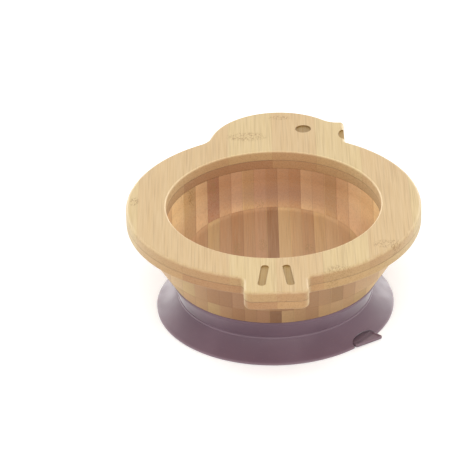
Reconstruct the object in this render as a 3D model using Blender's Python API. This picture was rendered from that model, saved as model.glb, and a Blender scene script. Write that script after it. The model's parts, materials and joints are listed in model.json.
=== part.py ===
"""Baby's bowl: laminated bamboo, chick-shaped rim, on a silicone suction base.

Units are metres. +Z is up, and the origin is on the bowl's axis, on the table.
+Y points to the back of the bowl (the chick's head), +X to the side of its beak.

The bamboo is two flat plies (the rim), a board of strips on edge (the wall) and a
thick board (the floor and foot). The router cuts the bowl's hollow out of the glued
stack, so it parts the middle strips of the wall board into a front and a back piece.
The silicone base is one moulding. It is split here at its fold and at the root of its
release tab, the two places where it bends in use, and round the ledge inside it.
"""
import math

import bmesh
import bpy
from mathutils import Vector

MM = 0.001

# ---------------------------------------------------------------- driving sizes
GAP = 0.3 * MM                # glue line or parting left between neighbouring solids
ROUND_STEPS = 72              # facets round a full turn

# the bowl, from its axis outwards
OPENING_R = 55.0 * MM         # mouth of the bowl
RIM_WIDTH = 20.6 * MM         # from the mouth to the edge of the round rim
RIM_OVERHANG = 4.1 * MM       # rim past the outside of the wall
BODY_TAPER = 17.5 * MM        # how far the outside runs in from rim to shoulder
WALL_DRAFT = 0.7 * MM         # how far the inside runs in above its floor fillet
FLOOR_FILLET = 14.0 * MM      # radius between the wall and the floor inside

# the boards of the stack
UPPER_PLY = 5.2 * MM
LOWER_PLY = 4.9 * MM
WALL_BOARD = 17.7 * MM
FLOOR_BOARD = 20.0 * MM
FLOOR_BELOW_SEAM = 0.7 * MM   # how far the hollow is cut into the floor board
FOOT_HEIGHT = 9.0 * MM        # turned foot that plugs into the silicone collar
EDGE_ROUND = 1.6 * MM         # rounded outer edges of the rim
MOUTH_ROUND = 1.0 * MM        # rounded edge of the mouth
FOOT_CHAMFER = 0.8 * MM

# strips on edge in the wall board, lying along Y
STRIP_PITCH = 6.15 * MM
STRIP_OFFSET = 2.5 * MM       # X of the joint nearest to the axis
SLIVER = 2.0 * MM             # a narrower leftover stays on its neighbour

# the head and the beak
HEAD_R = 36.8 * MM
HEAD_X = 3.3 * MM
HEAD_REACH = 45.4 * MM        # from the mouth's back edge to the top of the head
BEAK_X = 39.0 * MM            # the beak's straight front edge
BEAK_DROP = 13.1 * MM         # the beak's top edge below the top of the head
BEAK_CORNER = 1.9 * MM
BEAK_FILLET = 12.0 * MM       # hollow between the beak and the head
BEAK_ROOT_FILLET = 2.0 * MM   # hollow between the beak and the rim
NECK_FILLET = 11.0 * MM       # hollow between the head and the rim
EYE_D = 8.2 * MM
EYE_X = 17.2 * MM
EYE_DROP = 20.7 * MM          # the eye's centre below the top of the head
MOUTH_LINE = (3.2 * MM, 5.2 * MM)   # half sizes of the oval cut into the beak's edge
MOUTH_LINE_DROP = 27.6 * MM

# the feet
FEET_W = 32.0 * MM
FEET_REACH = 13.4 * MM        # past the round rim
FEET_CORNER = 4.8 * MM
FEET_FILLET = 3.0 * MM
TOE_W = 3.8 * MM
TOE_L = 19.5 * MM
TOE_SPACING = 12.4 * MM       # between the middles of the two toe slots
TOE_FAN = math.radians(6.5)
TOE_SET_BACK = 16.8 * MM      # middle of a slot behind the front edge of the feet
ENGRAVING = 0.7 * MM          # depth of the eye, mouth and toes

# the silicone base
SKIRT_HEIGHT = 9.0 * MM       # height of the fold above the table
SKIRT_FLARE = 7.6 * MM        # skirt's edge past the bamboo at the shoulder
SKIRT_WALL = 3.6 * MM
LIP = 1.2 * MM                # thickness of the skirt's edge
LAND_W = 9.1 * MM             # flat ring that seals on the table
FOLD_IN = 4.0 * MM            # waist at the fold, inside the bamboo's shoulder radius
COLLAR_WALL = 3.1 * MM        # at its thinnest, beside the foot
COLLAR_ROUND = 0.8 * MM
LEDGE_W = 8.9 * MM            # ledge that carries the foot
LEDGE_T = 2.25 * MM

# the release tab on the skirt's edge
TAB_AZIMUTH = math.radians(-42.0)
TAB_T = 1.8 * MM
TAB_HALF_W = 7.6 * MM
TAB_SET_IN = 4.3 * MM         # the tab's root, inside the skirt's edge
TAB_REACH = 4.4 * MM          # free corner past the skirt's edge
TAB_SKEW = 5.2 * MM           # how much less the other corner reaches
TAB_CORNER = 1.6 * MM
TAB_CLEAR = 0.4 * MM
TAB_OFF_TABLE = 0.3 * MM
SCOOP_SIDE = 2.6 * MM         # room for a fingertip beside the tab
SCOOP_H = 5.4 * MM            # height of the arched scoop over the tab

# ------------------------------------------------------------- worked-out sizes
RIM_R = OPENING_R + RIM_WIDTH
BODY_TOP_R = RIM_R - RIM_OVERHANG
BODY_LOW_R = BODY_TOP_R - BODY_TAPER
FLAT_R = OPENING_R - WALL_DRAFT - FLOOR_FILLET

FOLD_R = BODY_LOW_R - FOLD_IN
COLLAR_R = FOLD_R - COLLAR_WALL
FOOT_R = COLLAR_R - GAP
LEDGE_R = COLLAR_R - LEDGE_W
CHAMBER_R = FOLD_R - SKIRT_WALL
SKIRT_R = BODY_LOW_R + SKIRT_FLARE
LAND_R = SKIRT_R - LAND_W

FOOT_Z = SKIRT_HEIGHT + GAP / 2 + LEDGE_T + GAP
SHOULDER_Z = FOOT_Z + FOOT_HEIGHT
SEAM_Z = FOOT_Z + FLOOR_BOARD
FLOOR_Z = SEAM_Z - FLOOR_BELOW_SEAM
RIM_Z = SEAM_Z + WALL_BOARD
PLY_Z = RIM_Z + LOWER_PLY
TOP_Z = PLY_Z + UPPER_PLY
COLLAR_TOP_Z = SHOULDER_Z - GAP

HEAD_TOP_Y = OPENING_R + HEAD_REACH
HEAD = Vector((HEAD_X, HEAD_TOP_Y - HEAD_R))
BEAK_Y = HEAD_TOP_Y - BEAK_DROP
FEET_Y = -(RIM_R + FEET_REACH)
TAB_HINGE_R = SKIRT_R - TAB_SET_IN
TAB_HINGE_Z = TAB_OFF_TABLE + TAB_T / 2
TAB_TIP = TAB_SET_IN + TAB_REACH


# ------------------------------------------------------------------ materials
def material(name, colour, roughness):
    """A plain Principled material, made once."""
    mat = bpy.data.materials.new(name)
    mat.use_nodes = True
    shader = mat.node_tree.nodes["Principled BSDF"]
    shader.inputs["Base Color"].default_value = (*colour, 1.0)
    shader.inputs["Roughness"].default_value = roughness
    shader.inputs["Metallic"].default_value = 0.0
    return mat


# --------------------------------------------------------------- mesh helpers
def finish(bm, name, mat, parent=None, place=None, turn=0.0):
    """Turn a bmesh into a named object, faces out, round parts shaded smooth."""
    bmesh.ops.remove_doubles(bm, verts=bm.verts, dist=1e-6)
    bmesh.ops.dissolve_degenerate(bm, edges=bm.edges, dist=1e-6)
    bmesh.ops.recalc_face_normals(bm, faces=bm.faces)
    if bm.calc_volume(signed=True) < 0:
        bmesh.ops.reverse_faces(bm, faces=bm.faces)
    mesh = bpy.data.meshes.new(name)
    bm.to_mesh(mesh)
    bm.free()
    mesh.shade_smooth()
    mesh.set_sharp_from_angle(angle=math.radians(30))
    mesh.materials.append(mat)
    obj = bpy.data.objects.new(name, mesh)
    bpy.context.scene.collection.objects.link(obj)
    obj.location = place or (0, 0, 0)
    obj.rotation_euler = (0, 0, turn)
    obj.parent = parent
    return obj


def joint_empty(name, place=(0, 0, 0)):
    """An empty on a joint's axis that carries the pieces of one moving body."""
    empty = bpy.data.objects.new(name, None)
    empty.location = place
    empty.empty_display_size = 0.02
    bpy.context.scene.collection.objects.link(empty)
    return empty


def turned(profile):
    """Spin a closed outline of (radius, height) points about Z into a solid."""
    bm = bmesh.new()
    verts = [bm.verts.new((r, 0, z)) for r, z in profile]
    edges = [bm.edges.new(pair) for pair in zip(verts, verts[1:] + verts[:1])]
    bmesh.ops.spin(bm, geom=verts + edges, cent=(0, 0, 0), axis=(0, 0, 1),
                   angle=2 * math.pi, steps=ROUND_STEPS, use_merge=True)
    bmesh.ops.remove_doubles(bm, verts=bm.verts, dist=1e-7)
    on_axis = [e for e in bm.edges if not e.link_faces]
    bmesh.ops.delete(bm, geom=on_axis, context="EDGES")
    bmesh.ops.recalc_face_normals(bm, faces=bm.faces)
    return bm


def keep_below(bm, point, normal):
    """Saw a solid through a plane and keep the side the normal points away from."""
    bmesh.ops.bisect_plane(bm, geom=bm.verts[:] + bm.edges[:] + bm.faces[:], dist=1e-7,
                           plane_co=point, plane_no=normal, clear_outer=True)
    open_edges = [e for e in bm.edges if e.is_boundary]
    if open_edges:
        bmesh.ops.holes_fill(bm, edges=open_edges, sides=0)


def prism(outline, z_low, z_high):
    """Stand a flat outline up between two heights."""
    bm = bmesh.new()
    face = bm.faces.new([bm.verts.new((p[0], p[1], z_low)) for p in outline])
    up = bmesh.ops.extrude_face_region(bm, geom=[face])["geom"]
    raised = [v for v in up if isinstance(v, bmesh.types.BMVert)]
    bmesh.ops.translate(bm, verts=raised, vec=(0, 0, z_high - z_low))
    return bm


def round_edges(bm, edges, radius, segments=2):
    bmesh.ops.bevel(bm, geom=edges, offset=radius, offset_type="OFFSET", affect="EDGES",
                    segments=segments, profile=0.5, material=-1, clamp_overlap=True)


def cut_out(obj, cutter):
    """Cut one object out of another and keep the cutter as a wire guide."""
    cutter.hide_render = True
    cutter.display_type = "WIRE"
    cut = obj.modifiers.new("cut " + cutter.name, "BOOLEAN")
    cut.operation = "DIFFERENCE"
    cut.object = cutter


# ------------------------------------------------------------- outline helpers
def arc(centre, start, end, clockwise=False):
    """Points of an arc from start to end, both ends included."""
    centre = Vector(centre)
    a0 = math.atan2(start[1] - centre.y, start[0] - centre.x)
    a1 = math.atan2(end[1] - centre.y, end[0] - centre.x)
    if clockwise and a1 > a0:
        a1 -= 2 * math.pi
    if not clockwise and a1 < a0:
        a1 += 2 * math.pi
    radius = (Vector(start) - centre).length
    facet = 2 * math.pi / ROUND_STEPS
    if radius < FEET_CORNER * 1.01:
        facet *= 6
    elif radius < HEAD_R / 2:
        facet *= 2
    steps = max(2, math.ceil(abs(a1 - a0) / facet))
    angles = [a0 + (a1 - a0) * i / steps for i in range(steps + 1)]
    return [(centre.x + radius * math.cos(a), centre.y + radius * math.sin(a)) for a in angles]


def corner(x, y, radius, side):
    """The rounded corner of a rectangle: side 1 is its right, front corner, and so on
    counter-clockwise."""
    dx = -1 if side in (1, 2) else 1
    dy = 1 if side in (1, 4) else -1
    centre = (x + dx * radius, y + dy * radius)
    ends = [(centre[0], y), (x, centre[1])]
    if side in (2, 4):
        ends.reverse()
    return arc(centre, *ends)


def kiss(centre, radius, other):
    """Where the circle round centre meets a circle round other that touches it."""
    centre = Vector(centre)
    return centre + (Vector(other) - centre).normalized() * radius


def fillet_beside_line(x, radius, y_sign):
    """Centre of a fillet that touches the line X = x and the round rim from outside."""
    cx = x + radius
    return Vector((cx, y_sign * math.sqrt((RIM_R + radius) ** 2 - cx ** 2)))


def neck_centre():
    """Centre of the fillet that touches the rim and the head on the head's left."""
    to_rim = RIM_R + NECK_FILLET
    to_head = HEAD_R + NECK_FILLET
    away = HEAD.length
    along = (to_rim ** 2 - to_head ** 2 + away ** 2) / (2 * away)
    aside = math.sqrt(to_rim ** 2 - along ** 2)
    unit = HEAD.normalized()
    return unit * along + Vector((-unit.y, unit.x)) * aside


def chick_outline():
    """The rim seen from above, counter-clockwise from the front of the feet."""
    half = FEET_W / 2
    origin = Vector((0, 0))
    right = fillet_beside_line(half, FEET_FILLET, -1)
    left = Vector((-right.x, right.y))
    beak_root = fillet_beside_line(BEAK_X, BEAK_ROOT_FILLET, 1)
    brow_y = BEAK_Y + BEAK_FILLET
    brow_x = HEAD.x + math.sqrt((HEAD_R + BEAK_FILLET) ** 2 - (brow_y - HEAD.y) ** 2)
    brow = Vector((brow_x, brow_y))
    neck = neck_centre()

    points = corner(half, FEET_Y, FEET_CORNER, 1)
    points += arc(right, (half, right.y), kiss(origin, RIM_R, right), clockwise=True)
    points += arc(origin, kiss(origin, RIM_R, right), kiss(origin, RIM_R, beak_root))
    points += arc(beak_root, kiss(origin, RIM_R, beak_root), (BEAK_X, beak_root.y), clockwise=True)
    points += corner(BEAK_X, BEAK_Y, BEAK_CORNER, 2)
    points += arc(brow, (brow.x, BEAK_Y), kiss(HEAD, HEAD_R, brow), clockwise=True)
    points += arc(HEAD, kiss(HEAD, HEAD_R, brow), kiss(HEAD, HEAD_R, neck))
    points += arc(neck, kiss(HEAD, HEAD_R, neck), kiss(origin, RIM_R, neck), clockwise=True)
    points += arc(origin, kiss(origin, RIM_R, neck), kiss(origin, RIM_R, left))
    points += arc(left, kiss(origin, RIM_R, left), (-half, left.y), clockwise=True)
    points += corner(-half, FEET_Y, FEET_CORNER, 4)
    return without_repeats(points)


def without_repeats(points):
    kept = []
    for point in points:
        if not kept or math.dist(point, kept[-1]) > 1e-5:
            kept.append(point)
    if math.dist(kept[0], kept[-1]) < 1e-5:
        kept.pop()
    return kept


# ------------------------------------------------------------- bamboo profiles
def hollow_r(z):
    """Radius of the bowl's hollow at a height."""
    rise = z - FLOOR_Z
    if rise < FLOOR_FILLET:
        return FLAT_R + math.sqrt(FLOOR_FILLET ** 2 - (FLOOR_FILLET - rise) ** 2)
    slope = WALL_DRAFT / (RIM_Z - FLOOR_Z - FLOOR_FILLET)
    return OPENING_R - (RIM_Z - z) * slope


def body_r(z):
    """Radius of the bamboo's outside at a height between the shoulder and the rim."""
    return BODY_LOW_R + BODY_TAPER * (z - SHOULDER_Z) / (RIM_Z - SHOULDER_Z)


def fillet_heights(z_low, z_high, steps):
    """Heights up the floor fillet at even angles, both ends included."""
    angle = [math.acos(1 - (z - FLOOR_Z) / FLOOR_FILLET) for z in (z_low, z_high)]
    turn = (angle[1] - angle[0]) / steps
    return [FLOOR_Z + FLOOR_FILLET * (1 - math.cos(angle[0] + i * turn)) for i in range(steps + 1)]


def wall_profile():
    low = SEAM_Z + GAP / 2
    high = RIM_Z - GAP / 2
    fillet = fillet_heights(low, FLOOR_Z + FLOOR_FILLET, 5)
    outside = [(body_r(low), low), (body_r(high), high)]
    return outside + [(hollow_r(z), z) for z in [high] + fillet[::-1]]


def floor_profile():
    high = SEAM_Z - GAP / 2
    dish = fillet_heights(FLOOR_Z, high, 2)
    return ([(0, FOOT_Z), (FOOT_R - FOOT_CHAMFER, FOOT_Z), (FOOT_R, FOOT_Z + FOOT_CHAMFER),
             (FOOT_R, SHOULDER_Z), (BODY_LOW_R, SHOULDER_Z), (body_r(high), high)]
            + [(hollow_r(z), z) for z in dish[::-1]] + [(0, FLOOR_Z)])


# ------------------------------------------------------------- bamboo pieces
def rim_ply(name, z_low, z_high, mat, parent, rounded_top):
    """A flat ply with the chick's outline and the round mouth."""
    bm = bmesh.new()
    mouth = [(OPENING_R * math.cos(2 * math.pi * i / ROUND_STEPS),
              OPENING_R * math.sin(2 * math.pi * i / ROUND_STEPS)) for i in range(ROUND_STEPS)]
    edges = []
    for loop in (chick_outline(), mouth):
        verts = [bm.verts.new((x, y, z_low)) for x, y in loop]
        edges += [bm.edges.new(pair) for pair in zip(verts, verts[1:] + verts[:1])]
    bmesh.ops.triangle_fill(bm, edges=edges, use_beauty=True)
    up = bmesh.ops.extrude_face_region(bm, geom=bm.faces[:])["geom"]
    raised = [v for v in up if isinstance(v, bmesh.types.BMVert)]
    bmesh.ops.translate(bm, verts=raised, vec=(0, 0, z_high - z_low))
    bmesh.ops.recalc_face_normals(bm, faces=bm.faces)
    flat = math.radians(60)
    level = z_high if rounded_top else z_low
    sharp = [e for e in bm.edges if e.calc_face_angle(0) > flat
             and all(abs(v.co.z - level) < 1e-6 for v in e.verts)]
    near_mouth = OPENING_R + MOUTH_ROUND
    outer = [e for e in sharp if e.verts[0].co.xy.length > near_mouth]
    inner = [e for e in sharp if e.verts[0].co.xy.length <= near_mouth]
    round_edges(bm, outer, EDGE_ROUND)
    if rounded_top:
        inner = [e for e in inner if e.is_valid]
        round_edges(bm, inner, MOUTH_ROUND)
    return finish(bm, name, mat, parent)


def oval_cutter(name, centre, half_x, half_y, z_low, z_high, steps=24):
    angles = [2 * math.pi * i / steps for i in range(steps)]
    outline = [(centre[0] + half_x * math.cos(a), centre[1] + half_y * math.sin(a))
               for a in angles]
    return finish(prism(outline, z_low, z_high), name, CUTTER)


def toe_cutter(name, side, z_low, z_high):
    """A round-ended slot that leans outwards towards the front."""
    radius = TOE_W / 2
    run = TOE_L / 2 - radius
    outline = arc((0, run), (radius, run), (-radius, run))
    outline += arc((0, -run), (-radius, -run), (radius, -run))
    place = (side * TOE_SPACING / 2, FEET_Y + TOE_SET_BACK, 0)
    return finish(prism(outline, z_low, z_high), name, CUTTER, place=place, turn=side * TOE_FAN)


def engrave(ply):
    """The eye, the mouth line and the two toes, cut into the top of the upper ply."""
    bottom = TOP_Z - ENGRAVING
    above = TOP_Z + EDGE_ROUND
    eye = (EYE_X, HEAD_TOP_Y - EYE_DROP)
    cut_out(ply, oval_cutter("eye_cutter", eye, EYE_D / 2, EYE_D / 2, bottom, above))
    mouth = (BEAK_X, HEAD_TOP_Y - MOUTH_LINE_DROP)
    cut_out(ply, oval_cutter("mouth_cutter", mouth, *MOUTH_LINE, bottom, above))
    cut_out(ply, toe_cutter("left_toe_cutter", -1, bottom, above))
    cut_out(ply, toe_cutter("right_toe_cutter", 1, bottom, above))


def strip_joints():
    """X of each glue line in the wall board, without slivers at the sides."""
    reach = BODY_TOP_R - SLIVER
    first = math.ceil((-reach - STRIP_OFFSET) / STRIP_PITCH)
    last = math.floor((reach - STRIP_OFFSET) / STRIP_PITCH)
    return [STRIP_OFFSET + STRIP_PITCH * i for i in range(first, last + 1)]


def wall_piece(name, x_low, x_high, side, mat, parent):
    """One strip of the wall board: all of it (side 0), its back (1) or its front (-1)."""
    bm = turned(wall_profile())
    if x_low is not None:
        keep_below(bm, (x_low + GAP / 2, 0, 0), (-1, 0, 0))
    if x_high is not None:
        keep_below(bm, (x_high - GAP / 2, 0, 0), (1, 0, 0))
    if side:
        keep_below(bm, (0, side * GAP / 2, 0), (0, -side, 0))
    return finish(bm, name, mat, parent)


def wall_strips(mat, parent):
    joints = strip_joints()
    seam_r = hollow_r(SEAM_Z + GAP / 2)
    bounds = [None] + joints + [None]
    for number, (x_low, x_high) in enumerate(zip(bounds, bounds[1:]), start=1):
        name = f"wall_strip_{number:02d}"
        outermost = x_low is None or x_high is None
        parted = not outermost and max(abs(x_low), abs(x_high)) < seam_r + SLIVER
        if parted:
            wall_piece(name + "_back", x_low, x_high, 1, mat, parent)
            wall_piece(name + "_front", x_low, x_high, -1, mat, parent)
        else:
            wall_piece(name, x_low, x_high, 0, mat, parent)


# ----------------------------------------------------------- silicone pieces
def suction_skirt(mat):
    """The flared lower half of the moulding, with the scoop over the release tab."""
    top = SKIRT_HEIGHT - GAP / 2
    flare = []
    steps = 5
    start = Vector((FOLD_R, top))
    bend = Vector((FOLD_R + 0.38 * (SKIRT_R - FOLD_R), top * 0.5))
    end = Vector((SKIRT_R - LIP / 3, LIP))
    for i in range(steps + 1):
        t = i / steps
        point = start * (1 - t) ** 2 + bend * 2 * t * (1 - t) + end * t ** 2
        flare.append((point.x, point.y))
    edge = [(SKIRT_R, LIP * 0.7), (SKIRT_R, LIP * 0.3), (SKIRT_R - LIP / 3, 0)]
    inside = [(LAND_R, 0), (CHAMBER_R + 0.3 * (LAND_R - CHAMBER_R), top * 0.6), (CHAMBER_R, top)]
    skirt = finish(turned(flare + edge + inside), "suction_skirt", mat)
    cut_out(skirt, scoop_cutter())
    return skirt


def scoop_cutter():
    """A half-oval tunnel that runs outwards from just inside the tab's root."""
    half_w = TAB_HALF_W + SCOOP_SIDE
    inner = TAB_HINGE_R - TAB_T / 2 - TAB_CLEAR
    steps = 24
    bm = bmesh.new()
    angles = [2 * math.pi * i / steps for i in range(steps)]
    ring = [bm.verts.new((inner, half_w * math.cos(a), SCOOP_H * math.sin(a))) for a in angles]
    face = bm.faces.new(ring)
    out = bmesh.ops.extrude_face_region(bm, geom=[face])["geom"]
    moved = [v for v in out if isinstance(v, bmesh.types.BMVert)]
    bmesh.ops.translate(bm, verts=moved, vec=(2 * TAB_TIP, 0, 0))
    return finish(bm, "scoop_cutter", CUTTER, turn=TAB_AZIMUTH)


def suction_collar(mat, parent):
    """The upper half of the moulding: a tapering wall round the foot."""
    low = SKIRT_HEIGHT + GAP / 2
    top = COLLAR_TOP_Z
    profile = [(COLLAR_R, low), (FOLD_R, low), (BODY_LOW_R, top - COLLAR_ROUND),
               (BODY_LOW_R - COLLAR_ROUND * 0.3, top - COLLAR_ROUND * 0.3),
               (BODY_LOW_R - COLLAR_ROUND, top), (COLLAR_R, top)]
    return finish(turned(profile), "suction_collar", mat, parent)


def foot_ledge(mat, parent):
    """The flat ring inside the collar that the foot stands on."""
    low = SKIRT_HEIGHT + GAP / 2
    top = low + LEDGE_T
    outer = COLLAR_R - GAP
    profile = [(LEDGE_R, low), (outer, low), (outer, top), (LEDGE_R, top)]
    return finish(turned(profile), "foot_ledge", mat, parent)


def release_tab(mat):
    """A tongue in the scoop; its own X runs outwards from the hinge at its root."""
    low = TAB_TIP - TAB_SKEW
    corner_out = Vector((TAB_TIP, TAB_HALF_W))
    corner_in = Vector((low, -TAB_HALF_W))
    outline = [(0, -TAB_HALF_W), tuple(corner_in), tuple(corner_out), (0, TAB_HALF_W)]
    bm = prism(outline, -TAB_T / 2, TAB_T / 2)
    bmesh.ops.recalc_face_normals(bm, faces=bm.faces)
    upright = [e for e in bm.edges if abs(e.verts[0].co.z - e.verts[1].co.z) > TAB_T / 2
               and e.verts[0].co.x > TAB_T]
    round_edges(bm, upright, TAB_CORNER, segments=3)
    root = [e for e in bm.edges if all(abs(v.co.x) < 1e-6 for v in e.verts)
            and abs(e.verts[0].co.y - e.verts[1].co.y) > TAB_T]
    bmesh.ops.translate(bm, verts=list({v for e in root for v in e.verts}), vec=(-TAB_T / 2, 0, 0))
    round_edges(bm, root, TAB_T / 2 - 0.02 * MM, segments=3)
    hinge = (TAB_HINGE_R * math.cos(TAB_AZIMUTH), TAB_HINGE_R * math.sin(TAB_AZIMUTH), TAB_HINGE_Z)
    return finish(bm, "release_tab", mat, place=hinge, turn=TAB_AZIMUTH)


# ------------------------------------------------------------------- the part
def clear_scene():
    for obj in list(bpy.data.objects):
        bpy.data.objects.remove(obj, do_unlink=True)


clear_scene()
CUTTER = material("cutter guide", (0.8, 0.1, 0.1), 0.5)
ply_bamboo = material("pale flat bamboo", (0.78, 0.60, 0.31), 0.5)
strip_bamboo = material("caramel bamboo on edge", (0.55, 0.34, 0.16), 0.55)
floor_bamboo = material("floor bamboo", (0.48, 0.29, 0.14), 0.55)
silicone = material("mauve silicone", (0.17, 0.11, 0.135), 0.55)

collar_axis = joint_empty("collar_axis")
bowl_axis = joint_empty("bowl_axis")
upper = rim_ply("rim_upper_ply", PLY_Z + GAP / 2, TOP_Z, ply_bamboo, bowl_axis, True)
engrave(upper)
rim_ply("rim_lower_ply", RIM_Z + GAP / 2, PLY_Z - GAP / 2, ply_bamboo, bowl_axis, False)
wall_strips(strip_bamboo, bowl_axis)
finish(turned(floor_profile()), "floor_board", floor_bamboo, bowl_axis)
suction_collar(silicone, collar_axis)
foot_ledge(silicone, collar_axis)
suction_skirt(silicone)
release_tab(silicone)
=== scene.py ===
# %% [markdown]
# # A baby's bowl in laminated bamboo, on a silicone suction base
#
# The bowl is a stack of four bamboo boards, glued together and then routed and turned:
# two flat boards make the broad rim, cut to the shape of a chick, and two boards of
# strips on edge make the wall and the floor. A soft silicone moulding grips its foot.
#
# The sizes and the motion are settled already, in a mechanical model. This script loads
# that model as a fixed frame and builds the looks round it. Nothing here moves or resizes
# the frame: every new piece takes its place from it, and the bamboo pieces ride on one of its bodies.

# %% Load the frame
import json
import math

import bmesh
import bpy
from mathutils import Matrix, Quaternion, Vector


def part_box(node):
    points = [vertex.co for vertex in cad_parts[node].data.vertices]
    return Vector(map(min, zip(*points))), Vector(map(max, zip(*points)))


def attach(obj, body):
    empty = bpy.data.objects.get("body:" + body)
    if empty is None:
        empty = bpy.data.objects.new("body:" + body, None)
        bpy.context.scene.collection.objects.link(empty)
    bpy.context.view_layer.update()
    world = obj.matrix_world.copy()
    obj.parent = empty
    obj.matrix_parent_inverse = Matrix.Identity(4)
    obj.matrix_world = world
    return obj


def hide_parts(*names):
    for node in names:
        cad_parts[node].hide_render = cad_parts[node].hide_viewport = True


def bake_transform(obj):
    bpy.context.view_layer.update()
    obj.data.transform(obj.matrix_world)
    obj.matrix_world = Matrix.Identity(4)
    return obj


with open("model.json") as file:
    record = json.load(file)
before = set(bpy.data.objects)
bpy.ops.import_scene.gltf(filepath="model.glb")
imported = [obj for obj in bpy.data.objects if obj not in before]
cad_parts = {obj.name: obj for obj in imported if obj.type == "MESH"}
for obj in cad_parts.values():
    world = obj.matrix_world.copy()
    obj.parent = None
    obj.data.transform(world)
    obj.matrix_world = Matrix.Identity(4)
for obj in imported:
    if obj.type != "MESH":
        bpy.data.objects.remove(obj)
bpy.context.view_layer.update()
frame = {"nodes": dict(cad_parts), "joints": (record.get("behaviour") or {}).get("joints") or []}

# %% [markdown]
# ## Measure the frame
#
# The frame says where each board begins and ends, so these sizes are read off its nodes
# instead of being typed again. Between two glued boards the frame leaves a parting of
# 0.3 mm. A real glue line is far finer, so each board is carried to the middle of its
# parting, with only a hair left between two boards. Two strips of one board meet exactly,
# and their glue line is drawn in the material.

# %% Measure heights
MM = 0.001
HAIR = 0.05 * MM
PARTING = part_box("rim_upper_ply")[0].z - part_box("rim_lower_ply")[1].z
TOP_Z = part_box("rim_upper_ply")[1].z
PLY_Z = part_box("rim_upper_ply")[0].z - PARTING / 2
RIM_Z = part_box("rim_lower_ply")[0].z - PARTING / 2
SEAM_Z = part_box("floor_board")[1].z + PARTING / 2
SHOULDER_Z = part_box("suction_collar")[1].z + PARTING
FOOT_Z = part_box("floor_board")[0].z
FOLD_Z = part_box("suction_collar")[0].z - PARTING / 2
heights = (FOLD_Z, FOOT_Z, SHOULDER_Z, SEAM_Z, RIM_Z, PLY_Z, TOP_Z)
print("fold, foot, shoulder, seam, wall top, ply seam, top:", [round(z / MM, 2) for z in heights])


# %% Measure radii
def radii(node, height=None):
    """Least and greatest distance from the bowl's axis of a node's corners, at one height."""
    corners = [v.co for v in frame["nodes"][node].data.vertices]
    near = [c for c in corners if height is None or abs(c.z - height) < 0.02 * MM]
    spans = [c.xy.length for c in near]
    return min(spans), max(spans)


RIM_R = -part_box("rim_upper_ply")[0].x
MOUTH_R = radii("rim_lower_ply")[0]
WALL_TOP_R = -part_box("wall_strip_01")[0].x
SHOULDER_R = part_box("suction_collar")[1].x
FOOT_R = radii("floor_board", FOOT_Z + 0.8 * MM)[1]
board = [v.co for v in frame["nodes"]["floor_board"].data.vertices]
FLOOR_Z = min(c.z for c in board if c.z > SHOULDER_Z + MM and c.xy.length < FOOT_R)
FLAT_R = radii("floor_board", FLOOR_Z)[1]
print("rim, mouth, wall top, shoulder, foot, flat floor:",
      [round(r / MM, 2) for r in (RIM_R, MOUTH_R, WALL_TOP_R, SHOULDER_R, FOOT_R, FLAT_R)])

# %% [markdown]
# ## Camera, floor and light
#
# Setting up the studio first means that every piece can be looked at as soon as it is
# made. The bowl is seen from a third of the way up, with a long lens from more than a
# metre off, so the round mouth reads as a clean ellipse. The camera is rolled a degree
# and a half, as a hand-held one is.
#
# The floor is a plain white sheet with a soft glow of its own, like a light table, which
# keeps the bowl's shadow short and faint. A large soft lamp hangs in front and above, and
# the sky is brighter low down, as it is in a room with white walls. Two low lamps behind
# put the soft shine on the sides of the silicone. The Standard view transform keeps
# colours plain.

# %% Camera
CAMERA_AT = Vector((-0.0098, -1.3361, 0.8128))
LOOK_AT = Vector((-0.0192, 0.0159, 0.0300))
LENS = 226.9
ROLL = -1.53

camera = bpy.data.objects.new("camera", bpy.data.cameras.new("camera"))
camera.data.lens = LENS
camera.data.clip_start = 0.05
camera.location = CAMERA_AT
camera.rotation_mode = "QUATERNION"
aim = (LOOK_AT - CAMERA_AT).to_track_quat("-Z", "Y")
camera.rotation_quaternion = aim @ Quaternion((0, 0, 1), math.radians(ROLL))
bpy.context.scene.collection.objects.link(camera)
bpy.context.scene.camera = camera
bpy.context.scene.view_settings.view_transform = "Standard"
print("camera to bowl:", round((LOOK_AT - CAMERA_AT).length, 3), "m")


# %% A helper for paint colours
def paint(red, green, blue):
    """A colour given as 0 to 255 on a paint card, as the linear values that shaders use."""
    def linear(part):
        part = part / 255
        return part / 12.92 if part < 0.04045 else ((part + 0.055) / 1.055) ** 2.4
    return (linear(red), linear(green), linear(blue), 1.0)


# %% Floor
FLOOR_SPAN = 8.0
FLOOR_GLOW = 0.14
WHITE = (1.0, 1.0, 1.0, 1.0)
SHEET_WHITE = (0.93, 0.93, 0.93, 1.0)

floor_mesh = bpy.data.meshes.new("studio_floor")
bm = bmesh.new()
bmesh.ops.create_grid(bm, x_segments=1, y_segments=1, size=FLOOR_SPAN / 2)
bm.to_mesh(floor_mesh)
bm.free()
studio_floor = bpy.data.objects.new("studio_floor", floor_mesh)
bpy.context.scene.collection.objects.link(studio_floor)
white_sheet = bpy.data.materials.new("white sheet")
white_sheet.use_nodes = True
sheet_shader = white_sheet.node_tree.nodes["Principled BSDF"]
sheet_shader.inputs["Base Color"].default_value = SHEET_WHITE
sheet_shader.inputs["Roughness"].default_value = 1.0
sheet_shader.inputs["Specular IOR Level"].default_value = 0.0
sheet_shader.inputs["Emission Color"].default_value = WHITE
sheet_shader.inputs["Emission Strength"].default_value = FLOOR_GLOW
floor_mesh.materials.append(white_sheet)

# %% Sky and lamps
SKY_LOW = 1.0
SKY_HIGH = 0.75
SKY_HIGH_FROM = 0.9          # upward part of the direction at which the sky is dimmest
LAMP_AT = (0.0, -1.0, 1.25)
LAMP_SIZE = 1.2
LAMP_WATTS = 14.0
BACK_AT = (0.9, 1.7, 0.45)   # and mirrored to the other side
BACK_SIZE = 1.0
BACK_WATTS = 15.5

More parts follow.
